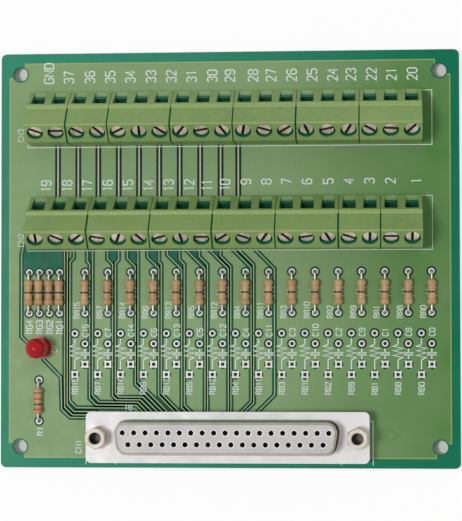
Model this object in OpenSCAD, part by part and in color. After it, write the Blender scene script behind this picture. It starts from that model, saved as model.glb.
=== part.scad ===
// D-sub terminal block adapter: a 37-way socket on a circuit board, wired out to two rows of
// screw terminals, with through-hole resistors and an indicator lamp between them.
// Millimetres, +Z up. X runs along the terminal rows, Y from the socket towards the upper row.
// The origin is the middle of the mounting hole pattern, on the board's underside.

/* [Board] */
// Width of the circuit board, along X
board_w = 113.8; // [113:0.1:125]
// Depth of the circuit board, along Y
board_d = 103; // [102:0.1:115]
// Thickness of the circuit board
board_t = 1.6; // [1.2:0.1:2.4]
// Corner radius of the circuit board
board_corner_r = 1.4; // [0.5:0.1:3]
// Mounting holes, centre to centre along X
mount_span_x = 104.14; // [103:0.01:105]
// Mounting holes, centre to centre along Y
mount_span_y = 92.71; // [91:0.01:94]
// Diameter of the mounting holes
mount_hole_d = 3.5; // [3:0.1:4]
// Height of the tinned pads over the laminate
pad_t = 0.05; // [0.03:0.01:0.1]

/* [Terminal rows] */
// Distance from one screw terminal to the next
pole_pitch = 5.08; // [5:0.01:5.2]
// Two-pole housings in each row
two_pole_blocks = 2; // [1:1:2]
// Three-pole housings in each row
three_pole_blocks = 5; // [3:1:5]
// Middle of both rows, along X
rows_x = -0.6; // [-1:0.1:1]
// Front face of the lower row, along Y
lower_row_y = 2.35; // [1.5:0.05:4]
// Distance between the two rows
row_spacing = 26; // [24:0.1:26.4]
// Gap between neighbouring housings
block_gap = 0.14; // [0.06:0.02:0.3]

/* [Terminal housing] */
// Depth of a terminal housing on the board
housing_d = 13.15; // [12.9:0.05:14]
// Height of the upright front face
front_h = 9.6; // [9.2:0.1:10.5]
// Depth that the sloping screw face covers
screw_face_d = 3.9; // [3.6:0.1:4.2]
// Depth that the steep wire face covers
wire_face_d = 4.05; // [3.8:0.05:4.2]
// Height of the upright part under the wire face
wire_step_h = 2.8; // [2.6:0.1:3.2]
// Height of the ledge above the wire face
ledge_h = 9.7; // [9.3:0.1:10.2]
// Depth of that ledge
ledge_d = 0.8; // [0.5:0.1:1.2]
// Radius of the moulded edges
housing_edge_r = 0.25; // [0.1:0.05:0.4]
// Width of a wire entry at the wire face
entry_w = 3.65; // [3.3:0.05:3.8]

/* [Screw clamps] */
// Slope of the screw face and tilt of the screws, in degrees
screw_tilt = 45; // [43:1:47]
// Diameter of the screw head
head_d = 3.5; // [3.2:0.05:3.7]
// Height of the screw head
head_h = 1.9; // [1.6:0.1:2.1]
// How far the head sits below the screw face
head_recess = 0.85; // [0.5:0.05:1.1]
// Clearance around the head in its hole
head_clearance = 0.25; // [0.15:0.05:0.3]
// Width of the screwdriver slot
slot_w = 0.7; // [0.5:0.05:0.9]
// Depth of the screwdriver slot
slot_depth = 0.9; // [0.6:0.05:1.1]
// Outer diameter of the screw thread
thread_d = 2.5; // [2:0.1:2.6]
// Running clearance around the thread
thread_clearance = 0.08; // [0.05:0.01:0.1]
// Lift of the wire cage from open to clamped
cage_lift = 2.6; // [2.2:0.1:2.8]
// Width of the wire cage
cage_w = 3.9; // [3.7:0.05:4]
// Depth of the wire cage along the wire
cage_d = 3; // [2.8:0.05:3.1]
// Side wall of the wire cage
cage_wall = 0.55; // [0.4:0.05:0.7]
// Thickness of the threaded top of the cage
cage_top_t = 1.2; // [1:0.1:1.4]
// Thickness of the bottom of the cage
cage_floor_t = 0.8; // [0.6:0.1:0.9]
// Wire gap of an open clamp
wire_gap = 3; // [2.7:0.1:3.1]
// Thickness of the contact strip
strip_t = 0.8; // [0.6:0.05:1]
// Width of the contact strip
strip_w = 2.4; // [2:0.1:2.6]
// Width of the solder pin
pin_w = 1; // [0.8:0.05:1.2]
// Length of the solder pin below the board
pin_tail = 2; // [1.8:0.1:2.6]

/* [D-sub socket] */
// Middle of the socket, along Y
socket_y = -43.7; // [-44.5:0.1:-43]
// Contacts in the longer row
long_row_contacts = 19; // [17:1:19]
// Distance from one contact to the next
contact_pitch = 2.77; // [2.7:0.01:2.77]
// Distance between the two rows of contacts
contact_row_gap = 2.84; // [2.6:0.02:3]
// Width of the flange
flange_w = 69.3; // [69:0.1:72]
// Depth of the flange
flange_d = 12.5; // [12:0.1:13]
// Corner radius of the flange
flange_corner_r = 1.3; // [0.5:0.1:2]
// Thickness of each of the two metal flanges
flange_t = 0.5; // [0.4:0.05:0.6]
// Top of the flange above the board
flange_h = 5.75; // [5.4:0.05:7]
// Width of the shroud on its wide side
shroud_w = 54.9; // [54.5:0.1:56]
// Depth of the shroud
shroud_d = 7.9; // [7.7:0.05:8.2]
// Height of the shroud over the flange
shroud_h = 5.85; // [5.6:0.05:6.2]
// Wall of the shroud
shroud_wall = 0.4; // [0.3:0.05:0.5]
// Corner radius of the shroud
shroud_corner_r = 2.6; // [2:0.1:3]
// Slope of the shroud's ends, in degrees
shroud_slope = 10; // [8:1:12]
// Radius at the foot of the shroud
shroud_foot_r = 0.9; // [0.5:0.1:1.1]
// Jack screws, centre to centre
jack_span = 63.5; // [63.4:0.01:64]
// Width across the flats of a jack screw
jack_flats = 4.76; // [4.5:0.01:5]
// Height of a jack screw over the flange
jack_h = 4.9; // [4.5:0.1:5.2]
// Diameter of the tapped hole in a jack screw
jack_hole_d = 2.6; // [2.2:0.1:2.8]

/* [Small parts] */
// Distance from one channel resistor to the next
channel_pitch = 5.715; // [5.6:0.005:5.75]
// Channel resistors in the row
channels = 16; // [12:1:16]
// Ground resistors at the left
ground_resistors = 4; // [2:1:4]
// Distance from one ground resistor to the next
ground_pitch = 2.54; // [2.5:0.01:2.6]
// Lead to lead distance of a resistor
resistor_span = 10.16; // [9.5:0.01:10.3]
// Length of a resistor body
resistor_l = 6.3; // [5.8:0.1:6.6]
// Diameter of a resistor body at its ends
resistor_d = 2.3; // [2:0.05:2.4]
// Diameter of the resistor and lamp leads
lead_d = 0.56; // [0.45:0.01:0.6]
// Bend radius of a lead, at its middle line
lead_bend_r = 0.7; // [0.5:0.05:0.9]
// Diameter of the lamp's lens
lamp_d = 5; // [4.8:0.1:5.2]
// Height of the lamp's lens
lamp_h = 8.6; // [8:0.1:9]

/* [Hidden] */
$fn = 48;
EPS = 0.01;

// Board features
board_top = board_t;
pad_d = 1.75;
small_hole_d = 0.9;

// Terminal rows
poles = 2 * two_pole_blocks + 3 * three_pole_blocks;
upper_blocks = concat([for (i = [1:two_pole_blocks]) 2], [for (i = [1:three_pole_blocks]) 3]);
lower_blocks = concat([for (i = [1:three_pole_blocks]) 3], [for (i = [1:two_pole_blocks]) 2]);
row_start_x = rows_x - poles * pole_pitch / 2;
upper_row_y = lower_row_y + row_spacing;
function pole_x(i) = row_start_x + (i + 0.5) * pole_pitch;
function sum_before(v, i) = i <= 0 ? 0 : v[i - 1] + sum_before(v, i - 1);

// Housing profile: Y from the front face, Z from the board
apex_h = front_h + screw_face_d * tan(screw_tilt);
ledge_y = housing_d - wire_face_d;
entry_top_h = ledge_h - 0.8;
housing_profile = [
    [0, 0],
    [0, front_h],
    [screw_face_d, apex_h],
    [ledge_y - ledge_d, ledge_h],
    [ledge_y, ledge_h],
    [housing_d, wire_step_h],
    [housing_d, 0]
];

// Clamp frame: origin at the middle of the screw head's top, Z along the screw into the housing
head_hole_d = head_d + 2 * head_clearance;
hole_y = screw_face_d / 2 + 0.1;
head_y = hole_y + head_recess * sin(screw_tilt);
head_z = front_h + hole_y * tan(screw_tilt) - head_recess * cos(screw_tilt);
part_clearance = 0.1;
neck_l = 0.6;
thread_hole_d = thread_d + 2 * thread_clearance;
cavity_start = head_h + part_clearance + neck_l;
cage_start = cavity_start + cage_lift + part_clearance;
strip_start = cage_start + cage_top_t + 2 * part_clearance;
strip_end = strip_start + strip_t;
cage_floor = strip_end + wire_gap;
cage_end = cage_floor + cage_floor_t;
cavity_end = cage_end + part_clearance;
screw_l = strip_start - part_clearance;
strip_back = -2.2;
strip_front = cage_d / 2 - 0.2;

// The solder pin drops from the strip's back end
pin_u = (strip_start + strip_end) / 2;
pin_y = head_y + pin_u * sin(screw_tilt) + strip_back * cos(screw_tilt);
pin_z = head_z - pin_u * cos(screw_tilt) + strip_back * sin(screw_tilt);
pin_hole_d = norm([pin_w, strip_t]) + 0.1;
pin_slot_w = strip_w + 2 * part_clearance;

// Turn of each screwdriver slot, as the screws were left
upper_slots = [-25, 0, -32, -48, 30, 90, -40, 55, 12, -60, 80, -20, 35, -70, 15, 65, -35, -5, 48];
lower_slots = [90, -30, 42, -12, 70, -52, 20, -80, 0, 38, -25, 60, -45, 10, -65, -22, 88, 0, 90];

// Socket
socket_base = board_top + flange_h;
contact_r = 0.9;
contact_bore_r = 0.55;
contact_tail_r = 0.3;
contact_mouth_r = 0.62;
contact_recess = 0.6;
face_recess = 0.25;
shroud_gap = 0.06;
insulator_top = socket_base + shroud_h - face_recess;
contact_hole_d = 2 * contact_tail_r + 0.3;
contact_tail = 1.5;
rear_body_d = 9.2;
rear_skirt_h = 1.9;
rear_body_lift = 0.5;
jack_stud_r = 1.4;
post_r = 2.6;
post_foot_r = 1.45;
post_foot_tail = 1.7;
post_hole_d = 2 * post_foot_r + 0.2;

// Small parts
first_channel_x = -35.8;
first_ground_x = -49.8;
resistor_y = -8.2;
lamp_resistor_x = -47.3;
lamp_resistor_y = -34.95;
array_y = -23.4;
array_span = 10.16;
array_offset_x = -2.54;
capacitor_span = 5.08;
resistor_gap = 0.15;
resistor_z = board_top + pad_t + resistor_gap + resistor_d / 2;
resistor_waist_r = resistor_d / 2 - 0.2;
resistor_bell_l = 1.5;
lead_tail = 1.3;
lamp_x = -46.9;
lamp_y = -21.9;
lamp_lead_gap = 2.54;
lamp_rim_r = lamp_d / 2 + 0.4;
lamp_rim_h = 1;
lamp_lift = 0.9;

// Terminals count from 1 at the right end of the lower row; the last one is the upper row's left end
function screw_name(n) = str("terminal_screw_", n);
function lower_number(i) = poles - i;
function upper_number(i) = 2 * poles - i;

module at_channels() {
    for (i = [0:channels - 1])
        translate([first_channel_x + i * channel_pitch, 0, 0]) children();
}

module at_ground_resistors() {
    for (i = [0:ground_resistors - 1])
        translate([first_ground_x + i * ground_pitch, 0, 0]) children();
}

module at_resistors() {
    at_channels() translate([0, resistor_y, 0]) children();
    at_ground_resistors() translate([0, resistor_y, 0]) children();
}

module at_lamp_resistor() {
    translate([lamp_resistor_x, lamp_resistor_y, 0]) children();
}

module pair_y(span) {
    for (side = [-1, 1]) translate([0, side * span / 2, 0]) children();
}

module at_contacts() {
    for (i = [0:long_row_contacts - 1])
        translate([(i - (long_row_contacts - 1) / 2) * contact_pitch, socket_y + contact_row_gap / 2, 0])
            children();
    for (i = [0:long_row_contacts - 2])
        translate([(i - (long_row_contacts - 2) / 2) * contact_pitch, socket_y - contact_row_gap / 2, 0])
            children();
}

module at_jacks() {
    for (side = [-1, 1]) translate([side * jack_span / 2, socket_y, 0]) children();
}

module at_poles(row_y) {
    for (i = [0:poles - 1]) translate([pole_x(i), row_y, board_top]) children();
}

module clamp_frame() {
    translate([0, head_y, head_z]) rotate([screw_tilt - 180, 0, 0]) children();
}

// A block centred on X, from w0 to w1 towards the wire entry and from u0 to u1 along the screw
module clamp_block(width, w0, w1, u0, u1) {
    translate([-width / 2, -w1, u0]) cube([width, w1 - w0, u1 - u0]);
}

module rounded_plate(size, r, h) {
    linear_extrude(h) offset(r = r) square([size[0] - 2 * r, size[1] - 2 * r], center = true);
}

// Circuit board with its plated holes and the raised rims of the pads
module circuit_board() {
    color("#5b9a63") difference() {
        union() {
            rounded_plate([board_w, board_d], board_corner_r, board_t);
            translate([0, 0, -pad_t]) pads();
        }
        translate([0, 0, -1]) board_holes();
    }
}

module pads() {
    pad_h = board_t + 2 * pad_t;
    at_resistors() pair_y(resistor_span) cylinder(d = pad_d, h = pad_h);
    at_lamp_resistor() pair_y(resistor_span) cylinder(d = pad_d, h = pad_h);
    at_channels() unfitted_places() cylinder(d = pad_d, h = pad_h);
    at_channels() unfitted_squares() translate([-pad_d / 2, -pad_d / 2, 0]) cube([pad_d, pad_d, pad_h]);
}

// Upper pads of the places left empty, a resistor and a capacitor to each channel
module unfitted_places() {
    translate([array_offset_x, array_y + array_span / 2, 0]) children();
    translate([0, array_y + capacitor_span / 2, 0]) children();
}

// Lower pads of the same places, which are square
module unfitted_squares() {
    translate([array_offset_x, array_y - array_span / 2, 0]) children();
    translate([0, array_y - capacitor_span / 2, 0]) children();
}

module board_holes() {
    hole_h = board_t + 2;
    for (x = [-1, 1], y = [-1, 1])
        translate([x * mount_span_x / 2, y * mount_span_y / 2, 0]) cylinder(d = mount_hole_d, h = hole_h);
    for (row_y = [lower_row_y, upper_row_y], i = [0:poles - 1])
        translate([pole_x(i), row_y + pin_y, 0]) cylinder(d = pin_hole_d, h = hole_h);
    at_contacts() cylinder(d = contact_hole_d, h = hole_h);
    at_jacks() cylinder(d = post_hole_d, h = hole_h);
    at_resistors() pair_y(resistor_span) cylinder(d = small_hole_d, h = hole_h);
    at_lamp_resistor() pair_y(resistor_span) cylinder(d = small_hole_d, h = hole_h);
    at_channels() unfitted_places() cylinder(d = small_hole_d, h = hole_h);
    at_channels() unfitted_squares() cylinder(d = small_hole_d, h = hole_h);
    translate([lamp_x, lamp_y, 0]) pair_y(lamp_lead_gap) cylinder(d = small_hole_d, h = hole_h);
}

// One moulded housing with the bores, cage shafts and wire entries of its poles
module terminal_housing(count) {
    width = count * pole_pitch - block_gap;
    difference() {
        translate([block_gap / 2, 0, 0]) along_x(width) rounded_profile();
        for (i = [0:count - 1]) translate([(i + 0.5) * pole_pitch, 0, 0]) pole_cuts();
    }
}

module along_x(length) {
    rotate([90, 0, 90]) linear_extrude(length) children();
}

module rounded_profile() {
    offset(r = housing_edge_r, $fn = 16) offset(delta = -housing_edge_r) polygon(housing_profile);
}

module pole_cuts() {
    cavity_w = cage_w + 2 * part_clearance;
    reach = cage_d / 2 + part_clearance;
    clamp_frame() {
        translate([0, 0, -head_recess - 3]) cylinder(d = head_hole_d, h = head_recess + 3 + head_h + part_clearance);
        cylinder(d = thread_hole_d, h = cavity_start + EPS);
        clamp_block(cavity_w, -reach, reach, cavity_start, cavity_end);
        clamp_block(strip_w + 2 * part_clearance, strip_back - strip_t, 0,
            strip_start - part_clearance, strip_end + part_clearance);
    }
    translate([-pin_slot_w / 2, pin_y - strip_t / 2 - part_clearance, -1])
        cube([pin_slot_w, strip_t + 2 * part_clearance, pin_z + 1]);
    wire_entry();
}

// Lead-in of the wire entry: a ramp up to the cage's mouth, with side walls that close in
module wire_entry() {
    mouth = cage_d / 2;
    outer = mouth + 5;
    inner_w = cage_w - 2 * cage_wall;
    flare = (entry_w - inner_w) / 2 / 2.2;
    low = [head_y + cage_end * sin(screw_tilt) + mouth * cos(screw_tilt),
        head_z - cage_end * cos(screw_tilt) + mouth * sin(screw_tilt)];
    high = [head_y + (cage_start + cage_top_t) * sin(screw_tilt) + mouth * cos(screw_tilt),
        head_z - (cage_start + cage_top_t) * cos(screw_tilt) + mouth * sin(screw_tilt)];
    intersection() {
        translate([-entry_w / 2, 0, 0]) along_x(entry_w) polygon([
            [housing_d + 2, wire_step_h + 0.1],
            [housing_d, wire_step_h + 0.1],
            low,
            high,
            [ledge_y + (ledge_h - entry_top_h) * wire_face_d / (ledge_h - wire_step_h), entry_top_h],
            [housing_d + 2, entry_top_h]
        ]);
        clamp_frame() linear_extrude(cage_end + 4) polygon([
            [-inner_w / 2, 0],
            [-inner_w / 2, -mouth],
            [-inner_w / 2 - flare * (outer - mouth), -outer],
            [inner_w / 2 + flare * (outer - mouth), -outer],
            [inner_w / 2, -mouth],
            [inner_w / 2, 0]
        ]);
    }
}

module housing_row(blocks, row_y) {
    color("#7f9f59")
        for (b = [0:len(blocks) - 1])
            translate([row_start_x + sum_before(blocks, b) * pole_pitch, row_y, board_top])
                terminal_housing(blocks[b]);
}

module upper_terminal_housings() {
    housing_row(upper_blocks, upper_row_y);
}

module lower_terminal_housings() {
    housing_row(lower_blocks, lower_row_y);
}

// Rising cage of one clamp: the wire goes in under the contact strip
module wire_cage() {
    clamp_frame() difference() {
        clamp_block(cage_w, -cage_d / 2, cage_d / 2, cage_start, cage_end);
        clamp_block(cage_w - 2 * cage_wall, -cage_d, cage_d, cage_start + cage_top_t, cage_floor);
        translate([0, 0, cage_start - 1]) cylinder(d = thread_hole_d, h = cage_top_t + 2);
    }
}

module upper_wire_cages() {
    color("silver") at_poles(upper_row_y) wire_cage();
}

module lower_wire_cages() {
    color("silver") at_poles(lower_row_y) wire_cage();
}

// Contact strip through the cage, with the solder pin that goes down through the board
module contact_pin() {
    clamp_frame() clamp_block(strip_w, strip_back - strip_t / 2, strip_front, strip_start, strip_end);
    translate([-pin_w / 2, pin_y - strip_t / 2, -board_t - pin_tail])
        cube([pin_w, strip_t, pin_z + board_t + pin_tail]);
}

module upper_contact_pins() {
    color("lightgray") at_poles(upper_row_y) contact_pin();
}

module lower_contact_pins() {
    color("lightgray") at_poles(lower_row_y) contact_pin();
}

// Captive clamp screw: a slotted cheese head on a plain shank
module terminal_screw(slot_turn) {
    edge = 0.15;
    color("#b9a993") clamp_frame() difference() {
        rotate_extrude() polygon([
            [0, 0],
            [head_d / 2 - edge, 0],
            [head_d / 2, edge],
            [head_d / 2, head_h],
            [thread_d / 2, head_h],
            [thread_d / 2, screw_l - edge],
            [thread_d / 2 - edge, screw_l],
            [0, screw_l]
        ]);
        rotate([0, 0, -slot_turn]) translate([-head_d, -slot_w / 2, -1]) cube([2 * head_d, slot_w, slot_depth + 1]);
    }
}

module upper_screw(i) {
    translate([pole_x(i), upper_row_y, board_top]) terminal_screw(upper_slots[i]);
}

module lower_screw(i) {
    translate([pole_x(i), lower_row_y, board_top]) terminal_screw(lower_slots[i]);
}

// Outline of the shroud, wide on the side of the longer contact row
module shroud_outline(inset) {
    half = shroud_w / 2;
    taper = shroud_d * tan(shroud_slope);
    offset(r = shroud_corner_r - inset, $fn = 40) offset(delta = -shroud_corner_r)
        polygon([
            [-half, shroud_d / 2],
            [half, shroud_d / 2],
            [half - taper, -shroud_d / 2],
            [-half + taper, -shroud_d / 2]
        ]);
}

module flange_plate(opening_inset) {
    difference() {
        rounded_plate([flange_w, flange_d], flange_corner_r, flange_t);
        translate([0, 0, -1]) linear_extrude(flange_t + 2) shroud_outline(opening_inset);
        for (side = [-1, 1])
            translate([side * jack_span / 2, 0, -1]) cylinder(r = jack_stud_r + 0.15, h = flange_t + 2);
    }
}

// Drawn front shell: flange, rounded foot and shroud in one
module socket_front_shell() {
    steps = 4;
    color("#dfdcdd") translate([0, socket_y, socket_base - flange_t]) {
        flange_plate(shroud_wall);
        translate([0, 0, flange_t]) linear_extrude(shroud_h) difference() {
            shroud_outline(0);
            shroud_outline(shroud_wall);
        }
        for (k = [0:steps - 1])
            translate([0, 0, flange_t + k * shroud_foot_r / steps])
                linear_extrude(shroud_foot_r / steps) difference() {
                    shroud_outline(-shroud_foot_r * (1 - sin(acos(1 - (k + 0.5) / steps))));
                    shroud_outline(shroud_wall / 2);
                }
    }
}

// Rear shell: a second flange with a skirt round the rear insulator
module socket_rear_shell() {
    color("#cfccca") translate([0, socket_y, socket_base - 2 * flange_t]) {
        flange_plate(shroud_gap);
        translate([0, 0, -rear_skirt_h]) linear_extrude(rear_skirt_h) difference() {
            rear_outline(-shroud_wall - shroud_gap);
            rear_outline(-shroud_gap);
        }
    }
}

module rear_outline(inset) {
    offset(r = 1.2 - inset, $fn = 24) square([shroud_w - 2 * 1.2, rear_body_d - 2 * 1.2], center = true);
}

module socket_front_insulator() {
    color("#c9c7c4") difference() {
        translate([0, socket_y, socket_base - 2 * flange_t])
            linear_extrude(insulator_top - socket_base + 2 * flange_t)
                shroud_outline(shroud_wall + shroud_gap);
        at_contacts() {
            translate([0, 0, socket_base - 3]) cylinder(r = contact_r + 0.05, h = insulator_top - contact_recess - socket_base + 3);
            translate([0, 0, socket_base]) cylinder(r = contact_mouth_r, h = shroud_h);
            translate([0, 0, insulator_top - 0.2]) cylinder(r1 = contact_mouth_r, r2 = contact_mouth_r + 0.25, h = 0.2 + EPS);
        }
    }
}

module socket_rear_insulator() {
    color("#b9b7b4") difference() {
        union() {
            translate([0, socket_y, board_top + rear_body_lift])
                linear_extrude(flange_h - 2 * flange_t - rear_body_lift) rear_outline(0);
            for (side = [-1, 1])
                translate([side * (shroud_w / 2 - 3) - 1.5, socket_y - rear_body_d / 2 + 1, board_top])
                    cube([3, rear_body_d - 2, rear_body_lift + EPS]);
        }
        at_contacts() translate([0, 0, board_top - 1]) cylinder(r = contact_tail_r + 0.05, h = flange_h);
    }
}

// Contacts: a bored barrel on a round solder tail
module socket_contacts() {
    barrel_top = insulator_top - contact_recess - 0.1;
    barrel_foot = socket_base - 2 * flange_t;
    color("#c8b070") at_contacts() rotate_extrude() polygon([
        [0, -contact_tail],
        [contact_tail_r, -contact_tail],
        [contact_tail_r, barrel_foot],
        [contact_r, barrel_foot],
        [contact_r, barrel_top],
        [contact_bore_r, barrel_top],
        [contact_bore_r, barrel_top - 5],
        [0, barrel_top - 5]
    ]);
}

// Hexagonal jack screws with a tapped hole, each on a stud that enters its board lock
module jack_screws() {
    across = jack_flats / cos(30);
    stud_foot = board_top + 0.8;
    color("#c9c2b4") at_jacks() translate([0, 0, socket_base]) difference() {
        union() {
            intersection() {
                rotate([0, 0, 30]) cylinder(d = across, h = jack_h, $fn = 6);
                cylinder(r1 = across / 2 + jack_h - 0.45, r2 = across / 2 - 0.45, h = jack_h);
            }
            translate([0, 0, stud_foot - socket_base]) cylinder(r = jack_stud_r, h = socket_base - stud_foot + EPS);
        }
        translate([0, 0, jack_h - 4.2]) cylinder(d = jack_hole_d, h = 5);
        translate([0, 0, jack_h - 0.3]) cylinder(d1 = jack_hole_d, d2 = jack_hole_d + 0.7, h = 0.3 + EPS);
    }
}

// Board locks: a threaded post between board and flange, with a split foot through the board
module board_locks() {
    post_h = flange_h - 2 * flange_t;
    color("#bdb9b0") at_jacks() difference() {
        union() {
            translate([0, 0, board_top]) cylinder(r = post_r, h = post_h);
            translate([0, 0, -post_foot_tail]) cylinder(r = post_foot_r, h = board_top + post_foot_tail + EPS);
        }
        translate([0, 0, board_top + 0.6]) cylinder(r = jack_stud_r + 0.05, h = post_h);
        translate([-0.3, -post_r, -post_foot_tail - 1]) cube([0.6, 2 * post_r, post_foot_tail + 1]);
    }
}

// Dog-bone body of an axial resistor, along Y
module resistor_body() {
    r = resistor_d / 2;
    half = resistor_l / 2;
    translate([0, 0, resistor_z]) rotate([-90, 0, 0]) rotate_extrude() polygon([
        [0, -half],
        [r * 0.55, -half],
        [r * 0.88, -half + 0.25],
        [r, -half + 0.7],
        [r, -half + resistor_bell_l - 0.4],
        [resistor_waist_r, -half + resistor_bell_l],
        [resistor_waist_r, half - resistor_bell_l],
        [r, half - resistor_bell_l + 0.4],
        [r, half - 0.7],
        [r * 0.88, half - 0.25],
        [r * 0.55, half],
        [0, half]
    ]);
}

module resistor_bodies() {
    color("#b98c69") at_resistors() resistor_body();
}

module lamp_resistor_body() {
    color("#b5805a") at_lamp_resistor() resistor_body();
}

// The two leads of a resistor: out of the end, round the bend and down through the board
module resistor_wires() {
    r = lead_d / 2;
    run = (resistor_span - resistor_l) / 2 - lead_bend_r;
    drop = resistor_z - lead_bend_r + lead_tail;
    for (turn = [0, 180]) rotate([0, 0, turn]) translate([0, resistor_l / 2, resistor_z]) {
        rotate([-90, 0, 0]) cylinder(r = r, h = run);
        translate([0, run, -lead_bend_r]) rotate([90, 0, 90])
            rotate_extrude(angle = 90) translate([lead_bend_r, 0]) circle(r = r);
        translate([0, run + lead_bend_r, -lead_bend_r - drop]) cylinder(r = r, h = drop);
    }
}

module resistor_leads() {
    color("gainsboro") {
        at_resistors() resistor_wires();
        at_lamp_resistor() resistor_wires();
    }
}

// Indicator lamp: a flanged dome with a flat on the rim
module lamp_lens() {
    color("#b5202c") translate([lamp_x, lamp_y, board_top + lamp_lift]) difference() {
        union() {
            cylinder(r = lamp_rim_r, h = lamp_rim_h);
            cylinder(d = lamp_d, h = lamp_h - lamp_d / 2);
            translate([0, 0, lamp_h - lamp_d / 2]) sphere(d = lamp_d);
        }
        translate([-lamp_rim_r, -lamp_rim_r - lamp_d / 2 - 0.05, -1])
            cube([2 * lamp_rim_r, lamp_rim_r, lamp_rim_h + 1.01]);
    }
}

module lamp_leads() {
    color("gainsboro") translate([lamp_x, lamp_y, 0]) pair_y(lamp_lead_gap)
        translate([-0.25, -0.25, -lead_tail]) cube([0.5, 0.5, board_top + lamp_lift + lead_tail]);
}

// Solder fillets under the board, each round its own pin
module fillet(base_r, h) {
    difference() {
        translate([0, 0, -h]) cylinder(r1 = base_r * 0.45, r2 = base_r, h = h);
        children();
    }
}

module solder_joints() {
    color("#c4c4c8") {
        for (row_y = [lower_row_y, upper_row_y], i = [0:poles - 1])
            translate([pole_x(i), row_y + pin_y, 0])
                fillet(1.25, 1.2) translate([-pin_w / 2, -strip_t / 2, -2]) cube([pin_w, strip_t, 3]);
        at_contacts() fillet(0.85, 0.9) translate([0, 0, -2]) cylinder(r = contact_tail_r, h = 3);
        at_resistors() pair_y(resistor_span) lead_fillet();
        at_lamp_resistor() pair_y(resistor_span) lead_fillet();
        translate([lamp_x, lamp_y, 0]) pair_y(lamp_lead_gap)
            fillet(0.85, 0.8) translate([-0.25, -0.25, -2]) cube([0.5, 0.5, 3]);
    }
}

module lead_fillet() {
    translate([0, 0, -pad_t]) fillet(pad_d / 2, 0.8) translate([0, 0, -2]) cylinder(d = lead_d, h = 3);
}

circuit_board();
upper_terminal_housings();
lower_terminal_housings();
upper_wire_cages();
lower_wire_cages();
upper_contact_pins();
lower_contact_pins();
socket_front_shell();
socket_rear_shell();
socket_front_insulator();
socket_rear_insulator();
socket_contacts();
jack_screws();
board_locks();
resistor_bodies();
lamp_resistor_body();
resistor_leads();
lamp_lens();
lamp_leads();
solder_joints();
for (i = [0:poles - 1]) lower_screw(i);
for (i = [0:poles - 1]) upper_screw(i);
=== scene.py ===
"""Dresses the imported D-sub terminal block adapter: mask, copper, legend, bands and finishes. Metres, row frame."""
import math

import bpy
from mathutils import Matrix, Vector
from mathutils.geometry import delaunay_2d_cdt


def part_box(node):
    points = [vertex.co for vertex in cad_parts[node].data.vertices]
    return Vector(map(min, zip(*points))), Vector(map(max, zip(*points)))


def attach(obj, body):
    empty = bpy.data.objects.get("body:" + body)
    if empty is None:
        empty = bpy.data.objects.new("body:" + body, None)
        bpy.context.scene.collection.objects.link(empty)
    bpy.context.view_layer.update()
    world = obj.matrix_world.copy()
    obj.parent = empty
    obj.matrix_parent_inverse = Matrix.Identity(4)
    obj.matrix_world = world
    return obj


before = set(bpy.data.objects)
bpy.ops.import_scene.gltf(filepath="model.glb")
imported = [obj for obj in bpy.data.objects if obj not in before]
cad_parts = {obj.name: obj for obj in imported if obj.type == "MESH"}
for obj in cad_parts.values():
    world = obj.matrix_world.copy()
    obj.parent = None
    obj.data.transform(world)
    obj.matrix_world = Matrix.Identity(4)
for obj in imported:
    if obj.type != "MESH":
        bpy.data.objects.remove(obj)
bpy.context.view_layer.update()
scene = bpy.context.scene

MM = 0.001
ROOT = "adapter"
SIN45 = math.sqrt(0.5)
WEAVE = 0.00076  # metres, pitch of the glass weave that shows through the mask

# Layout in millimetres, as in the part's source: Z is 0 at the board's underside
BOARD_TOP, HALF_X, HALF_Y = 1.6, 56.9, 51.5
HOLE_X, HOLE_Y, PIN_PITCH = 52.07, 46.355, 2.54

# Terminal rows: their front faces, and the poles that start a new housing
POLES, POLE_PITCH, ROWS_X, LOWER_Y, UPPER_Y = 19, 5.08, -0.6, 2.35, 28.35
POLE_X = [ROWS_X + (i - (POLES - 1) / 2) * POLE_PITCH for i in range(POLES)]
UPPER_SPLITS, LOWER_SPLITS = (2, 4, 7, 10, 13, 16), (3, 6, 9, 12, 15, 17)

# A housing's profile from its front foot: the front's height, then the corners as (y, z)
FRONT_H, FACE_TOP = 9.6, (3.9, 13.5)
LEDGE_FRONT, LEDGE_BACK, STEP_TOP = (8.3, 9.7), (9.1, 9.7), (13.15, 2.8)
BORE_Y, HEAD_RECESS = 2.05, 0.85
HEAD_Y = BORE_Y + HEAD_RECESS * SIN45
HEAD_Z = FRONT_H + BORE_Y - HEAD_RECESS * SIN45

# Resistors, the lamp's resistor, the empty places and the socket
CHANNEL_X = [-35.8 + 5.715 * i for i in range(16)]
GROUND_X = [-49.8 + PIN_PITCH * i for i in range(4)]
RES_Y, RES_SPAN, LAMP_R, ARRAY_Y = -8.2, 10.16, (-47.3, -34.95), -23.4
SOCKET_Y, JACK_X, JACK_TOP, FLANGE_TOP, SHROUD_TOP = -43.7, 31.75, 12.25, 7.35, 13.2


# Colours and materials ----------------------------------------------------------------------------

def srgb(r, g, b):
    def lin(v):
        v /= 255
        return v / 12.92 if v <= 0.04045 else ((v + 0.055) / 1.055) ** 2.4
    return (lin(r), lin(g), lin(b), 1.0)


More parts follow.
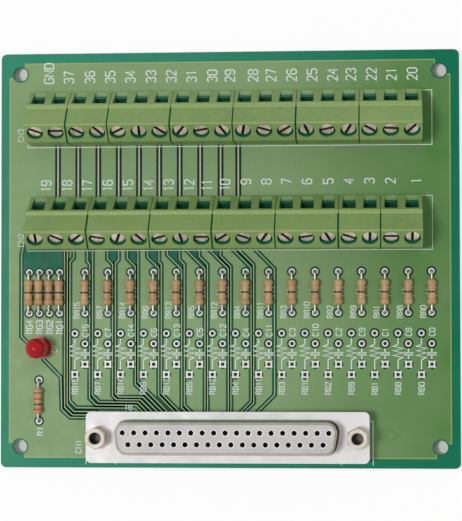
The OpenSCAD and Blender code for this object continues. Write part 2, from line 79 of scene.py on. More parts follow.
class Mat:
    """A Principled material with a few helpers for procedural detail in object space."""

    def __init__(self, name, color, rough, metal=0.0, spec=0.5):
        self.mat = bpy.data.materials.new(name)
        self.mat.use_nodes = True
        self.nt = self.mat.node_tree
        self.bsdf = self.nt.nodes["Principled BSDF"]
        self.bsdf.inputs["Base Color"].default_value = color
        self.bsdf.inputs["Roughness"].default_value = rough
        self.bsdf.inputs["Metallic"].default_value = metal
        self.bsdf.inputs["Specular IOR Level"].default_value = spec
        self.mat.diffuse_color = color

    def node(self, kind, **props):
        n = self.nt.nodes.new(kind)
        for k, v in props.items():
            setattr(n, k, v)
        return n

    def link(self, a, b):
        self.nt.links.new(a, b)

    def coords(self):
        return self.node("ShaderNodeTexCoord").outputs["Object"]

    def math(self, op, a, b=None, clamp=False):
        n = self.node("ShaderNodeMath", operation=op, use_clamp=clamp)
        for i, v in enumerate((a, b)):
            if v is None:
                continue
            if isinstance(v, (int, float)):
                n.inputs[i].default_value = v
            else:
                self.link(v, n.inputs[i])
        return n.outputs[0]

    def noise(self, scale, detail=3.0, rough=0.55, stretch=(1, 1, 1)):
        m = self.node("ShaderNodeMapping")
        m.inputs["Scale"].default_value = stretch
        self.link(self.coords(), m.inputs["Vector"])
        n = self.node("ShaderNodeTexNoise")
        n.inputs["Scale"].default_value = scale
        n.inputs["Detail"].default_value = detail
        n.inputs["Roughness"].default_value = rough
        self.link(m.outputs["Vector"], n.inputs["Vector"])
        return n.outputs["Fac"]

    def xyz(self):
        s = self.node("ShaderNodeSeparateXYZ")
        self.link(self.coords(), s.inputs[0])
        return s.outputs

    def normal(self):
        s = self.node("ShaderNodeSeparateXYZ")
        self.link(self.node("ShaderNodeTexCoord").outputs["Normal"], s.inputs[0])
        return s.outputs

    def spread(self, value, lo, hi, out_lo=0.0, out_hi=1.0):
        r = self.node("ShaderNodeMapRange")
        r.clamp = True
        for k, v in zip(("From Min", "From Max", "To Min", "To Max"), (lo, hi, out_lo, out_hi)):
            r.inputs[k].default_value = v
        self.link(value, r.inputs["Value"])
        return r.outputs["Result"]

    def mix(self, fac, a, b):
        m = self.node("ShaderNodeMix", data_type="RGBA")
        for sock, v in ((m.inputs[0], fac), (m.inputs[6], a), (m.inputs[7], b)):
            if isinstance(v, (int, float, tuple)):
                sock.default_value = v
            else:
                self.link(v, sock)
        return m.outputs[2]

    def tint(self, out):
        self.link(out, self.bsdf.inputs["Base Color"])
        return self

    def gloss(self, out):
        self.link(out, self.bsdf.inputs["Roughness"])
        return self

    def bump(self, height, distance, strength):
        b = self.node("ShaderNodeBump")
        b.inputs["Distance"].default_value = distance
        b.inputs["Strength"].default_value = strength
        self.link(height, b.inputs["Height"])
        self.link(b.outputs["Normal"], self.bsdf.inputs["Normal"])
        return self


def weave(m):
    """The laminate's plain weave in X and Y, 0 to 1."""
    x, y, _ = m.xyz()
    wx = m.math("SINE", m.math("MULTIPLY", x, 2 * math.pi / WEAVE))
    wy = m.math("SINE", m.math("MULTIPLY", y, 2 * math.pi / WEAVE))
    return m.spread(m.math("MAXIMUM", wx, wy), -1, 1)


def shade(color, k):
    return tuple(min(1.0, c * k) for c in color[:3]) + (1.0,)


def mask_material(name, color, shaded_side, contrast):
    """Solder mask over the glass weave. It is painted darker towards the right edge as shade, and the lighter left
    holds a painted sheen; the second colour is the one at the right edge.
    """
    m = Mat(name, color, 0.38, spec=0.1)
    x = m.xyz()[0]
    # Painted sheen on the left, and painted shade towards the right edge
    base = m.mix(m.spread(x, 0.012, 0.05), color, shaded_side)
    base = m.mix(m.spread(m.noise(55, 4), 0.3, 0.72, 0, 0.5), base, shade(color, 0.86))
    w = weave(m)
    threads = m.math("MULTIPLY", m.spread(w, 0.0, 1.0, contrast, 0.0), m.spread(x, -0.02, 0.03, 0.45, 1.0))
    m.tint(m.mix(threads, base, shade(color, 0.55)))
    m.gloss(m.spread(m.noise(300, 3), 0.3, 0.7, 0.32, 0.48))
    return m.bump(w, 0.00002, 0.35).mat


POUR = mask_material("mask_over_copper", srgb(140, 170, 120), srgb(76, 130, 60), 0.3)
BARE = mask_material("mask_over_laminate", srgb(24, 108, 84), srgb(10, 94, 66), 0.12)
GAP = mask_material("mask_in_gaps", srgb(0, 76, 50), srgb(0, 62, 40), 0.05)
FAINT = mask_material("mask_over_dimple", srgb(96, 148, 92), srgb(96, 148, 92), 0.05)
TRACE = mask_material("mask_over_traces", srgb(172, 202, 152), srgb(154, 190, 126), 0.05)
DEEP = mask_material("mask_in_row_gaps", srgb(4, 34, 26), srgb(2, 30, 22), 0.05)
PALE = mask_material("mask_over_row_traces", srgb(200, 206, 182), srgb(184, 196, 160), 0.05)
RELIEF = mask_material("mask_round_pads", srgb(0, 66, 44), srgb(2, 24, 17), 0.05)
RIM = mask_material("mask_over_pour_edge", srgb(160, 180, 122), srgb(150, 172, 100), 0.05)


def board_material():
    """Mask on both faces, tin on the pads' rims, glass laminate along the edges and in the corner holes."""
    m = Mat("board", srgb(62, 150, 120), 0.36, spec=0.08)
    x, y, z = m.xyz()
    top, skin, pad_rise = BOARD_TOP * MM, 0.000025, 0.000012
    # Painted sheen: lighter on the left, and deeper green towards the right edge as shade
    face = m.mix(m.spread(x, -0.02, 0.052), srgb(62, 150, 122), srgb(0, 116, 82))
    face = m.mix(m.spread(m.noise(60, 4), 0.3, 0.7, 0, 0.5), face, srgb(34, 128, 98))
    face = m.mix(m.spread(weave(m), 0, 1, 0.22, 0), face, srgb(16, 88, 68))
    inside = m.math("MULTIPLY", m.math("GREATER_THAN", z, skin), m.math("LESS_THAN", z, top - skin))
    layers = m.math("FRACT", m.math("MULTIPLY", z, 5200))
    laminate = m.mix(m.spread(layers, 0, 1), srgb(128, 132, 84), srgb(168, 170, 118))
    # The small holes are plated, and their walls are painted dark as the shade down in them, but for the mounting
    # holes in the corners
    across, up = m.math("ABSOLUTE", x), m.math("ABSOLUTE", y)
    middle = m.math("MULTIPLY", m.math("LESS_THAN", across, 0.0555), m.math("LESS_THAN", up, 0.05))
    corner = m.math("MULTIPLY", m.math("GREATER_THAN", across, 0.0495), m.math("GREATER_THAN", up, 0.044))
    bore_shade = m.math("MULTIPLY", middle, m.math("SUBTRACT", 1.0, corner))
    laminate = m.mix(bore_shade, laminate, srgb(62, 64, 58))
    body = m.mix(inside, face, laminate)
    over, below = m.math("GREATER_THAN", z, top + pad_rise), m.math("LESS_THAN", z, -pad_rise)
    rim = m.math("ADD", over, below, clamp=True)
    m.tint(m.mix(rim, body, srgb(214, 218, 212)))
    m.link(m.math("MULTIPLY", rim, 0.15), m.bsdf.inputs["Metallic"])
    m.gloss(m.spread(m.noise(420, 3), 0.3, 0.7, 0.42, 0.58))
    return m.bump(weave(m), 0.00002, 0.3).mat


def smallest(m, values):
    out = values[0]
    for v in values[1:]:
        out = m.math("MINIMUM", out, v)
    return out


def depth_under(m, y, z, a, b):
    """Metres under the sloping face that runs from a to b, both (y, z) in mm, the solid on its right."""
    length = math.hypot(b[0] - a[0], b[1] - a[1])
    ny, nz = -(b[1] - a[1]) / length, (b[0] - a[0]) / length
    c = (ny * a[0] + nz * a[1]) * MM
    return m.math("SUBTRACT", c, m.math("ADD", m.math("MULTIPLY", y, ny), m.math("MULTIPLY", z, nz)))


def housing_material(name, row_y, splits):
    """Moulded plastic, with painted shade in its bores and entries, on the entries' side walls and in the joints
    between blocks, and a painted highlight along its upper edges.
    """
    m = Mat(name, srgb(132, 164, 96), 0.42, spec=0.3)
    x, y, z = m.xyz()
    y = m.math("SUBTRACT", y, row_y * MM)
    z = m.math("SUBTRACT", z, BOARD_TOP * MM)
    tone = m.mix(m.spread(m.noise(42, 4), 0.32, 0.7), srgb(136, 164, 98), srgb(120, 150, 86))
    tone = m.mix(m.spread(m.noise(900, 2), 0.35, 0.68, 0, 0.35), tone, srgb(146, 172, 108))
    # Painted highlight along the upper edges
    edges = []
    for ey, ez in (FACE_TOP, LEDGE_FRONT, LEDGE_BACK):
        dy = m.math("ABSOLUTE", m.math("SUBTRACT", y, ey * MM))
        dz = m.math("ABSOLUTE", m.math("SUBTRACT", z, ez * MM))
        edges.append(m.math("MAXIMUM", dy, dz))
    edge_highlight = m.spread(smallest(m, edges), 0.00014, 0.0003, 0.4, 0.0)
    tone = m.mix(edge_highlight, tone, srgb(172, 192, 122))
    face = m.math("MULTIPLY", depth_under(m, y, z, (0, FRONT_H), FACE_TOP), 2.4)
    back = depth_under(m, y, z, FACE_TOP, LEDGE_FRONT)
    wire = depth_under(m, y, z, LEDGE_BACK, STEP_TOP)
    inner = smallest(m, [face, back, wire, m.math("MULTIPLY", y, 1.4)])
    # Distance from a pole's middle as a share of the pitch, counted from far left to stay positive
    far_left = (POLE_X[0] - POLE_PITCH / 2 - 10 * POLE_PITCH) * MM
    pitches = m.math("DIVIDE", m.math("SUBTRACT", x, far_left), POLE_PITCH * MM)
    across = m.math("ABSOLUTE", m.math("SUBTRACT", m.math("FRACT", pitches), 0.5))
    # Painted shade inside the screw bores and the wire entries
    recess_shade = m.math("MULTIPLY", m.spread(inner, 0.0003, 0.0008), m.math("LESS_THAN", across, 0.43))
    ramp = m.math("MULTIPLY", m.spread(wire, 0.00002, 0.0001), m.math("GREATER_THAN", back, 0.0008))
    ramp = m.math("MULTIPLY", ramp, m.math("LESS_THAN", across, 0.36))
    ramp = m.math("MULTIPLY", ramp, m.math("GREATER_THAN", y, LEDGE_BACK[0] * MM))
    # Painted shade on the side walls of the wire entries
    shaded_side = m.math("MULTIPLY", ramp, m.spread(m.math("ABSOLUTE", m.normal()[0]), 0.5, 0.8))
    tone = m.mix(ramp, tone, srgb(138, 168, 112))
    tone = m.mix(shaded_side, tone, srgb(28, 104, 66))
    shade_in = m.mix(m.spread(wire, 0.0014, 0.0024), srgb(36, 128, 90), srgb(24, 110, 74))
    tone = m.mix(recess_shade, tone, shade_in)
    # Painted shade in the joint between two housings, every other one a little wider
    away = []
    for i, n in enumerate(splits):
        off = m.math("ABSOLUTE", m.math("SUBTRACT", x, (POLE_X[n] - POLE_PITCH / 2) * MM))
        away.append(m.math("SUBTRACT", off, 0.0 if i % 2 else 0.00006))
    line = m.spread(smallest(m, away), 0.00014, 0.0002, 1, 0)
    split = m.math("MULTIPLY", line, m.math("LESS_THAN", y, LEDGE_FRONT[0] * MM))
    m.tint(m.mix(split, tone, srgb(14, 84, 44)))
    m.gloss(m.spread(m.noise(500, 3), 0.3, 0.7, 0.36, 0.52))
    return m.bump(m.noise(2600, 2), 0.00002, 0.35).mat


def metal_material(name, color, dark, rough, scale=600, metal=1.0):
    m = Mat(name, color, rough, metal)
    m.tint(m.mix(m.spread(m.noise(scale * 0.3, 4), 0.35, 0.72), color, dark))
    m.gloss(m.spread(m.noise(scale, 4), 0.3, 0.7, rough - 0.08, rough + 0.14))
    return m.bump(m.noise(scale * 3, 3), 0.00001, 0.25).mat


def screw_material(name, row_y):
    """Turned steel, painted dark as shade down in the screwdriver slot and round the head."""
    m = Mat(name, srgb(214, 202, 186), 0.32, 1.0)
    _, y, z = m.xyz()
    top = SIN45 * (row_y + HEAD_Y) - SIN45 * (BOARD_TOP + HEAD_Z)
    along = m.math("SUBTRACT", m.math("MULTIPLY", m.math("SUBTRACT", y, z), SIN45), top * MM)
    turned = m.spread(m.noise(700, 4, stretch=(1, 0.4, 0.4)), 0.35, 0.72)
    tone = m.mix(turned, srgb(218, 206, 190), srgb(168, 156, 142))
    # Painted shade: darker, duller and rougher deeper than 0.18 mm under the head's top, in the slot and round the
    # head
    head_shade = m.spread(along, 0.00018, 0.0005)
    m.tint(m.mix(head_shade, tone, srgb(30, 26, 22)))
    m.link(m.math("SUBTRACT", 1.0, m.math("MULTIPLY", head_shade, 0.8)), m.bsdf.inputs["Metallic"])
    m.gloss(m.math("ADD", m.spread(m.noise(900, 4), 0.3, 0.7, 0.24, 0.46), m.math("MULTIPLY", head_shade, 0.4)))
    return m.bump(m.noise(2700, 3, stretch=(1, 0.3, 0.3)), 0.00001, 0.3).mat


def shell_material():
    """Tinned sheet: satin flange. The drawn shroud's walls are painted darker and warmer than the flat as shade and
    reflection, and the rim greyer.
    """
    m = Mat("tinned_shell", srgb(226, 224, 225), 0.55, 0.12, spec=0.15)
    x, y, z = m.xyz()
    tone = m.mix(m.spread(m.noise(90, 4), 0.3, 0.72), srgb(232, 230, 231), srgb(222, 220, 221))
    drawn = m.spread(z, FLANGE_TOP * MM + 0.00002, FLANGE_TOP * MM + 0.0002)
    # Painted shade and reflection on the drawn walls: pale towards the front, green-grey on the far side, dark on the
    # right side
    far_shade = m.spread(m.math("SUBTRACT", y, SOCKET_Y * MM), 0.002, 0.0034)
    shaded_wall = m.mix(far_shade, srgb(196, 188, 170), srgb(134, 146, 128))
    shaded_wall = m.mix(m.spread(x, 0.0244, 0.0266), shaded_wall, srgb(86, 74, 58))
    shaded_wall = m.mix(m.spread(m.noise(700, 4), 0.3, 0.7, 0, 0.4), shaded_wall, srgb(120, 112, 96))
    rim = m.math("GREATER_THAN", z, SHROUD_TOP * MM - 0.00012)
    m.tint(m.mix(drawn, tone, m.mix(m.math("MULTIPLY", rim, 0.6), shaded_wall, srgb(176, 170, 160))))
    m.gloss(m.spread(m.noise(300, 4), 0.3, 0.7, 0.42, 0.58))
    return m.bump(m.noise(900, 3), 0.00001, 0.2).mat


def jack_material():
    """Nickelled hexagon: bright top, the threaded bore in shade."""
    m = Mat("jack_steel", srgb(206, 194, 176), 0.6, 0.2, spec=0.2)
    x, y, z = m.xyz()
    dx = m.math("SUBTRACT", m.math("ABSOLUTE", x), JACK_X * MM)
    dy = m.math("SUBTRACT", y, SOCKET_Y * MM)
    # A circle a little wider than the bore, up to just under the hexagon's top
    off_axis = m.math("ADD", m.math("MULTIPLY", dx, dx), m.math("MULTIPLY", dy, dy))
    bore = m.math("LESS_THAN", off_axis, (1.42 * MM) ** 2)
    bore = m.math("MULTIPLY", bore, m.math("LESS_THAN", z, JACK_TOP * MM - 0.0001))
    thread = m.spread(m.math("FRACT", m.math("MULTIPLY", z, 1600)), 0.2, 0.8)
    tone = m.mix(m.spread(m.noise(210, 4), 0.35, 0.72), srgb(222, 214, 202), srgb(192, 180, 164))
    m.tint(m.mix(bore, tone, m.mix(thread, srgb(40, 36, 32), srgb(120, 114, 104))))
    m.gloss(m.spread(m.noise(700, 4), 0.3, 0.7, 0.48, 0.64))
    return m.bump(m.noise(2100, 3), 0.00001, 0.25).mat


def contact_material():
    """Gold flash, painted dark and dull down in the mouths of the contacts as their shade."""
    m = Mat("contact_gold", srgb(198, 164, 96), 0.32, 0.9)
    tone = m.mix(m.spread(m.noise(180, 4), 0.35, 0.72), srgb(198, 164, 96), srgb(150, 116, 60))
    # Over 6.6 mm the contacts stand in the insulator, and there they are painted dark as shade
    mouth_shade = m.math("GREATER_THAN", m.xyz()[2], 0.0066)
    m.tint(m.mix(mouth_shade, tone, srgb(16, 12, 8)))
    m.gloss(m.math("ADD", m.spread(m.noise(600, 4), 0.3, 0.7, 0.24, 0.4), m.math("MULTIPLY", mouth_shade, 0.4)))
    return m.bump(m.noise(1800, 3), 0.00001, 0.25).mat


def insulator_material():
    m = Mat("insulator", srgb(202, 200, 198), 0.5)
    tone = m.mix(m.spread(m.noise(160, 4), 0.35, 0.7), srgb(206, 204, 201), srgb(190, 188, 186))
    # The chamfers round the contact holes are painted near white, a painted highlight
    m.tint(m.mix(m.spread(m.normal()[2], 0.85, 0.95, 0.9, 0), tone, srgb(250, 249, 247)))
    return m.bump(m.noise(2200, 2), 0.00002, 0.3).mat


def resistor_material(name, color, dark):
    m = Mat(name, color, 0.4, spec=0.3)
    m.tint(m.mix(m.spread(m.noise(380, 4), 0.35, 0.68), color, dark))
    m.gloss(m.spread(m.noise(900, 3), 0.3, 0.7, 0.32, 0.5))
    return m.bump(m.noise(1500, 3), 0.00003, 0.4).mat


def paint_material(name, color, rough=0.4):
    m = Mat(name, color, rough)
    m.tint(m.mix(m.spread(m.noise(1500, 3), 0.4, 0.75, 0, 0.4), color, shade(color, 0.8)))
    m.gloss(m.spread(m.noise(900, 2), 0.3, 0.7, rough - 0.05, rough + 0.1))
    return m.bump(m.noise(2400, 2), 0.000006, 0.25).mat


def lamp_material():
    m = Mat("lamp_epoxy", srgb(190, 12, 34), 0.22, spec=0.2)
    m.bsdf.inputs["Subsurface Weight"].default_value = 0.1
    m.bsdf.inputs["Subsurface Scale"].default_value = 0.002
    m.bsdf.inputs["Subsurface Radius"].default_value = (1.0, 0.12, 0.08)
    m.tint(m.mix(m.spread(m.noise(220, 3), 0.3, 0.7), srgb(192, 12, 34), srgb(164, 8, 26)))
    m.gloss(m.spread(m.noise(700, 3), 0.3, 0.7, 0.16, 0.28))
    return m.bump(m.noise(500, 2), 0.00004, 0.2).mat


LEGEND = paint_material("legend_ink", srgb(222, 234, 228), 0.5)
BLACK = paint_material("black_band", srgb(26, 20, 18))
RED = paint_material("red_band", srgb(190, 42, 40))
GOLD = metal_material("gold_band", srgb(176, 134, 84), srgb(146, 104, 62), 0.4, metal=0.5)
STEEL = metal_material("clamp_steel", srgb(196, 190, 180), srgb(150, 144, 134), 0.34)
# The cages are painted dark green: steel in the shade of the entries, with the green plastic in a painted reflection
SHADED_CAGE = metal_material("cage_in_green_shade", srgb(34, 104, 72), srgb(24, 84, 58), 0.5, metal=0.2)
SCREWS = {
    LOWER_Y: screw_material("lower_screw_steel", LOWER_Y),
    UPPER_Y: screw_material("upper_screw_steel", UPPER_Y),
}
TIN = metal_material("tinned_wire", srgb(190, 188, 182), srgb(150, 148, 142), 0.36, metal=0.8)
SHELL = shell_material()
CONTACT = contact_material()
SOLDER = metal_material("solder_tin", srgb(206, 206, 208), srgb(164, 164, 168), 0.26, 700)

FINISH = {
    "circuit_board": board_material(),
    "upper_terminal_housings": housing_material("upper_terminal_plastic", UPPER_Y, UPPER_SPLITS),
    "lower_terminal_housings": housing_material("lower_terminal_plastic", LOWER_Y, LOWER_SPLITS),
    "socket_front_shell": SHELL,
    "socket_rear_shell": SHELL,
    "socket_front_insulator": insulator_material(),
    "socket_contacts": CONTACT,
    "jack_screws": jack_material(),
    "resistor_bodies": resistor_material("tan_lacquer", srgb(200, 164, 120), srgb(176, 138, 98)),
    "lamp_resistor_body": resistor_material("pale_lacquer", srgb(200, 166, 124), srgb(176, 136, 98)),
    "lamp_lens": lamp_material(),
    "solder_joints": SOLDER,
}
FINISH["socket_rear_insulator"] = FINISH["socket_front_insulator"]
FINISH["board_locks"] = STEEL
for name in ("upper_wire_cages", "lower_wire_cages"):
    FINISH[name] = SHADED_CAGE
for name in ("upper_contact_pins", "lower_contact_pins", "resistor_leads", "lamp_leads"):
    FINISH[name] = TIN
for name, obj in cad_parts.items():
    obj.data.materials.clear()
    if name.startswith("terminal_screw"):
        obj.data.materials.append(SCREWS[LOWER_Y if int(name.split("_")[-1]) <= POLES else UPPER_Y])
    else:
        obj.data.materials.append(FINISH[name])


# Flat work on the board ---------------------------------------------------------------------------

class Flat:
    """Collects flat shapes in millimetres at one height, and makes one mesh of them."""

    def __init__(self, z):
        self.z, self.verts, self.faces = z, [], []

    def face(self, points):
        start = len(self.verts)
        self.verts += [(x * MM, y * MM, self.z * MM) for x, y in points]
        self.faces.append(list(range(start, start + len(points))))

    def ring(self, x, y, r_in, r_out, n=28, start=0.0, sweep=360.0):
        steps = max(2, round(n * sweep / 360))
        ang = [math.radians(start + sweep * k / steps) for k in range(steps + 1)]
        for a, b in zip(ang, ang[1:]):
            self.face([(x + r * math.cos(t), y + r * math.sin(t))
                       for r, t in ((r_in, a), (r_out, a), (r_out, b), (r_in, b))])

    def line(self, points, width):
        """A ribbon along points, mitred at its bends."""
        pts = [Vector(p) for p in points]
        closed = (pts[0] - pts[-1]).length < 1e-6
        if closed:
            pts = pts[:-1]
        n = len(pts)
        left, right = [], []
        for i, p in enumerate(pts):
            d_in = (p - pts[i - 1]).normalized() if closed or i > 0 else None
            d_out = (pts[(i + 1) % n] - p).normalized() if closed or i < n - 1 else None
            d_in, d_out = d_in or d_out, d_out or d_in
            n_in, n_out = Vector((-d_in.y, d_in.x)), Vector((-d_out.y, d_out.x))
            m = n_in + n_out
            m = m.normalized() if m.length > 1e-6 else n_in
            reach = min(width / 2 / max(m.dot(n_in), 0.3), width)
            left.append(p + m * reach)
            right.append(p - m * reach)
        for i in range(n if closed else n - 1):
            j = (i + 1) % n
            self.face([tuple(left[i]), tuple(right[i]), tuple(right[j]), tuple(left[j])])

    def make(self, name, mat):
        make_piece(name, self.verts, self.faces, mat, self.z > 0)


def place(name, data):
    obj = bpy.data.objects.new(name, data)
    scene.collection.objects.link(obj)
    return obj


def make_piece(name, verts, faces, mat, up=None):
    """One mesh on the board. A flat one is turned to face up or down, and a round one is shaded smooth."""
    mesh = bpy.data.meshes.new(name)
    mesh.from_pydata(verts, [], faces)
    mesh.update()
    if up is None:
        for p in mesh.polygons:
            p.use_smooth = True
    elif (mesh.polygons[0].normal.z > 0) != up:
        mesh.flip_normals()
    mesh.materials.append(mat)
    obj = place(name, mesh)
    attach(obj, ROOT)


def circle(x, y, r, n=24):
    return [(x + r * math.cos(2 * math.pi * k / n), y + r * math.sin(2 * math.pi * k / n)) for k in range(n)]


def sheet(name, z, outline, holes, mat):
    """A flat sheet with real holes through it."""
    verts, loops = [], []
    for loop in [outline] + holes:
        loops.append(list(range(len(verts), len(verts) + len(loop))))
        verts += [Vector(p) for p in loop]
    # Output type 5: faces that a mesh can hold, with the holes left open
    points, _, faces, *_ = delaunay_2d_cdt(verts, [], loops, 5, 1e-5)
    make_piece(name, [(v.x * MM, v.y * MM, z * MM) for v in points], faces, mat, z > 0)


# Heights of the flat layers, each over the one before
POUR_Z, EDGE_Z, BARE_Z, GAP_Z, ROW_GAP_Z, MARK_Z, TRACK_Z, ROW_TRACK_Z, LEGEND_Z, RELIEF_Z = (
    BOARD_TOP + h for h in (0.010, 0.012, 0.014, 0.018, 0.019, 0.020, 0.024, 0.025, 0.030, 0.056))
UNDER_POUR_Z, UNDER_RELIEF_Z = -0.010, -0.018

fitted = [(x, RES_Y + s * RES_SPAN / 2) for x in CHANNEL_X + GROUND_X for s in (-1, 1)]
fitted += [(LAMP_R[0], LAMP_R[1] + s * RES_SPAN / 2) for s in (-1, 1)]
empty_round = [(x - PIN_PITCH, ARRAY_Y + 2 * PIN_PITCH) for x in CHANNEL_X]
empty_round += [(x, ARRAY_Y + PIN_PITCH) for x in CHANNEL_X]
empty_square = [(x - PIN_PITCH, ARRAY_Y - 2 * PIN_PITCH) for x in CHANNEL_X]
empty_square += [(x, ARRAY_Y - PIN_PITCH) for x in CHANNEL_X]
pads = fitted + empty_round + empty_square

# Copper pour, pulled back from the edge and from the mounting holes
POUR_LEFT, POUR_RIGHT, POUR_Y = 54.75, 54.6, 49.0
HOLE_CLEAR, CUT_SIDE, CUT_END = 2.1, 1.0, 1.2


def pour_corners():
    """Round the board against the clock, stepping round the clearance of each mounting hole."""
    start = math.atan2(-CUT_SIDE, math.sqrt(HOLE_CLEAR ** 2 - CUT_SIDE ** 2))
    end = math.atan2(math.sqrt(HOLE_CLEAR ** 2 - CUT_END ** 2), -CUT_END) - 2 * math.pi
    angles = [start + (end - start) * k / 10 for k in range(11)]
    arc = [(HOLE_CLEAR * math.cos(t), HOLE_CLEAR * math.sin(t)) for t in angles]
    corners = []
    for sx, sy in ((1, 1), (-1, 1), (-1, -1), (1, -1)):
        edge_x = (POUR_RIGHT if sx > 0 else POUR_LEFT) - HOLE_X
        corner = [(edge_x, arc[0][1])] + arc + [(arc[-1][0], POUR_Y - HOLE_Y)]
        corner = [(sx * (HOLE_X + u), sy * (HOLE_Y + v)) for u, v in corner]
        corners.append(corner if sx * sy > 0 else corner[::-1])
    return corners


corners = pour_corners()
outline = [p for corner in corners for p in corner]
drilled = [circle(x, y, 0.62) for x, y in pads]
sheet("pour_top", POUR_Z, outline, drilled, POUR)
sheet("pour_under", UNDER_POUR_Z, outline, drilled, POUR)

# Traces that show, as paths, and those between the rows as (x, back, front)
TRACE_WIDTH, GAP_WIDTH, ROW_TRACE_WIDTH, ROW_GAP_WIDTH = 0.22, 1.24, 0.34, 1.5
TRACES = [
    [(-51.19, 4.14), (-51.76, 1.18), (-51.76, -19.06), (-48.59, -22.24)],
    [(-47.35, -20.86), (-46.11, -24.82), (-41.84, -29.13), (-41.61, -37.12), (-39.56, -39.11),
     (-32.46, -39.16)],
    [(-40.95, 4.11), (-40.87, -36.58), (-38.91, -38.47), (-32.46, -38.51)],
    [(-40.25, 4.1), (-40.25, -35.97), (-38.56, -37.66), (-32.46, -37.69)],
    [(-38.66, 4.1), (-38.66, 0.46), (-39.58, -0.45), (-39.63, -35), (-37.92, -36.72), (-25.02, -36.8),
     (-23.53, -38.32)],
    [(-35.29, 4.09), (-35.29, -0.42), (-34.62, -1.09), (-34.62, -34.39), (-32.98, -36.03), (-22.96, -36.09),
     (-20.8, -38.26)],
    [(-33.95, 4.08), (-33.95, -33.55), (-32.21, -35.29), (-22.59, -35.35), (-19.68, -38.26)],
    [(-30.18, 4.07), (-30.18, 0.18), (-28.89, -1.11), (-28.89, -33.68), (-27.87, -34.7), (-21.97, -34.73),
     (-18.44, -38.27)],
    [(-27.4, 4.06), (-27.4, -0.08), (-28.22, -0.89), (-28.22, -33.16), (-27.33, -34.06), (-21.25, -34.09),
     (-17.08, -38.28)],
    [(-25.24, 4.05), (-25.24, 0.28), (-23.21, -1.76), (-23.21, -30.91), (-15.86, -38.29)],
    [(-22.56, 4.04), (-22.56, -30.27), (-14.57, -38.29)],
    [(-20.18, 4.03), (-20.18, 0.64), (-17.38, -2.17), (-17.38, -33.69), (-12.79, -38.3)],
    [(-17.33, 4.02), (-17.33, -0.56), (-16.76, -1.14), (-16.76, -33.13), (-11.6, -38.31)],
    [(-15.24, 4.01), (-15.24, 1.14), (-11.65, -2.47), (-11.65, -36.63), (-9.96, -38.32)],
    [(-12.22, 4), (-12.22, -0.01), (-11.03, -1.21), (-11.03, -36.03), (-8.74, -38.33)],
    [(-12.19, 4), (-5.89, -2.32), (-5.89, -38.35)],
    [(-7.28, 3.98), (-7.28, 0.71), (-5.27, -1.31), (-5.27, -38.35)],
    [(-6.39, 3.98), (-0.09, -2.34), (-0.09, -38.38)],
    [(-2.05, 3.96), (-2.05, 0.79), (0.53, -1.8), (0.53, -38.38)],
    [(-0.51, 3.96), (5.54, -2.12), (5.54, -35.14), (2.27, -38.39)],
    [(0.88, 3.95), (6.16, -1.35), (6.16, -35.46), (3.21, -38.4)],
    [(5.02, 3.94), (11.32, -2.39), (11.32, -33.51), (6.39, -38.42)],
]
ROW_TRACES = [
    (-42.61, 32.32, 9.56), (-37.52, 32.31, 9.54), (-32.49, 32.3, 9.52), (-27.38, 32.29, 9.51),
    (-22.29, 32.28, 9.49), (-17.23, 32.27, 9.47), (-12.14, 32.26, 9.45), (-7.03, 32.25, 9.44),
    (-1.97, 32.23, 9.42), (2.44, 32.22, 9.4),
]

BARE_AREAS = [
    [(-51.24, 4.14), (-41.14, 4.11), (-41.14, -3.71), (-51.24, -3.67)],
    [(-35.14, 2.6), (-34.05, 2.6), (-34.05, -0.87), (-34.54, -0.97), (-35.14, -0.37)],
    [(-30.08, 2.58), (-27.5, 2.57), (-27.5, -0.03), (-28.27, -0.79), (-28.84, -1.04), (-30.08, 0.23)],
    [(-25.14, 2.56), (-22.66, 2.55), (-22.66, -1.91), (-23.13, -1.8), (-25.14, 0.33)],
    [(-20.08, 2.54), (-17.4, 2.53), (-17.4, -0.59), (-16.83, -1.19), (-17.3, -2.18), (-20.08, 0.69)],
    [(-15.15, 2.52), (-12.32, 2.51), (-12.32, -0.06), (-11.13, -1.26), (-11.57, -2.45), (-15.15, 1.19)],
    [(-10.63, 2.51), (-7.38, 2.5), (-7.38, 0.66), (-5.37, -1.36), (-5.82, -2.27)],
    [(-4.83, 2.49), (-2.15, 2.48), (-2.15, 0.74), (0.43, -1.85), (-0.01, -2.29)],
]
bare = Flat(BARE_Z)
for patch in BARE_AREAS:
    bare.face(patch)
bare.make("bare_areas", BARE)

gaps, row_gaps, tracks, row_tracks = (Flat(z) for z in (GAP_Z, ROW_GAP_Z, TRACK_Z, ROW_TRACK_Z))
for path in TRACES:
    gaps.line(path, GAP_WIDTH)
    tracks.line(path, TRACE_WIDTH)
for x, back, front in ROW_TRACES:
    row_gaps.line([(x, back), (x, front)], ROW_GAP_WIDTH)
    row_tracks.line([(x, back), (x, front)], ROW_TRACE_WIDTH)
row_gaps.make("row_gaps", DEEP)
row_tracks.make("row_tracks", PALE)

# The pour's own edge stands a little paler
rim = Flat(EDGE_Z)
for a, b in zip(corners, corners[1:] + corners[:1]):
    rim.line(a[-2:] + b[:2], 0.3)
rim.make("pour_edge", RIM)

# Clearances round the pads: rings, and four short arcs round a square pad
relief = Flat(RELIEF_Z)
for x, y in fitted + empty_round:
    relief.ring(x, y, 0.8, 1.24)
for x, y in empty_square:
    for k in range(4):
        relief.ring(x, y, 0.86, 1.2, start=90 * k - 27, sweep=54)
relief.make("pad_reliefs", RELIEF)
# A dark ring painted round each mounting hole, as the shade at the hole's edge
hole_shade_rings = Flat(MARK_Z)
for sx in (-1, 1):
    for sy in (-1, 1):
        hole_shade_rings.ring(sx * HOLE_X, sy * HOLE_Y, 1.78, 1.97, 40)
hole_shade_rings.make("hole_shade_rings", BARE)
dimple = Flat(MARK_Z)
dimple.ring(39.8, -43.3, 1.05, 1.45, 40)
dimple.make("dimple", FAINT)
gaps.make("track_gaps", GAP)

